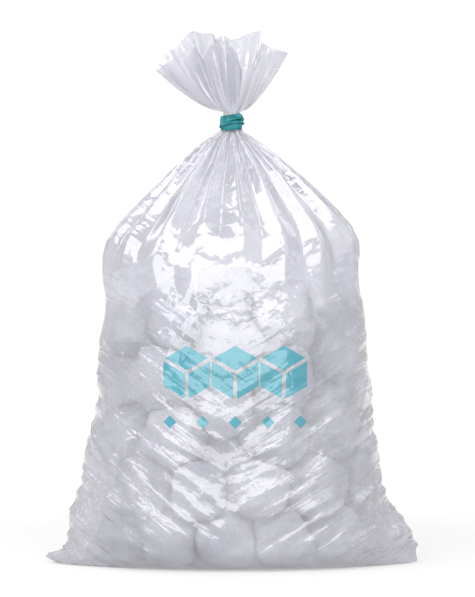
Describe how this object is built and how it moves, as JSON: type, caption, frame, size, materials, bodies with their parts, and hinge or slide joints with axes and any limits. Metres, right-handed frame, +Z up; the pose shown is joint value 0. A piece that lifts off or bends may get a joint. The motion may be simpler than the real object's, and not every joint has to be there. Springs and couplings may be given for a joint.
{
  "type": "bag of ice cubes",
  "caption": "Clear film bag full of loose frosted ice cubes, standing on its sealed flat bottom, gathered at the neck and tied with a rubber band under a flared ruffle.",
  "frame": {"origin": "middle of the bag's flat bottom, on the surface that it stands on", "axes": "+Z up from the bottom to the ruffle, the printed front faces -Y, the flat width runs along X"},
  "size_m": [0.254, 0.13, 0.3638],
  "materials": {
    "film": "clear polyethylene film, glossy, wrinkled, misted with fine drops inside",
    "ice": "frosted, with soft melted edges",
    "rubber": "matt dark teal rubber band"
  },
  "bodies": {
    "root": {"bag": "film", "ice_cube_01": "ice", "ice_cube_02": "ice", "ice_cube_03": "ice", "ice_cube_04": "ice", "ice_cube_05": "ice", "ice_cube_06": "ice", "ice_cube_07": "ice", "ice_cube_08": "ice", "ice_cube_09": "ice", "ice_cube_10": "ice", "ice_cube_11": "ice", "ice_cube_12": "ice", "ice_cube_13": "ice", "ice_cube_14": "ice", "ice_cube_15": "ice", "ice_cube_16": "ice", "ice_cube_17": "ice", "ice_cube_18": "ice", "ice_cube_19": "ice", "ice_cube_20": "ice", "ice_cube_21": "ice", "ice_cube_22": "ice", "ice_cube_23": "ice", "ice_cube_24": "ice", "ice_cube_25": "ice", "ice_cube_26": "ice", "ice_cube_27": "ice", "ice_cube_28": "ice", "ice_cube_29": "ice", "ice_cube_30": "ice", "ice_cube_31": "ice", "ice_cube_32": "ice", "ice_cube_33": "ice", "ice_cube_34": "ice", "ice_cube_35": "ice", "ice_cube_36": "ice", "ice_cube_37": "ice", "ice_cube_38": "ice", "ice_cube_39": "ice", "ice_cube_40": "ice", "ice_cube_41": "ice", "ice_cube_42": "ice", "ice_cube_43": "ice", "ice_cube_44": "ice", "ice_cube_45": "ice", "ice_cube_46": "ice", "ice_cube_47": "ice", "ice_cube_48": "ice", "ice_cube_49": "ice", "ice_cube_50": "ice", "ice_cube_51": "ice", "ice_cube_52": "ice", "ice_cube_53": "ice", "ice_cube_54": "ice", "ice_cube_55": "ice", "ice_cube_56": "ice", "ice_cube_57": "ice", "ice_cube_58": "ice", "tie": "rubber"}
  },
  "joints": []
}
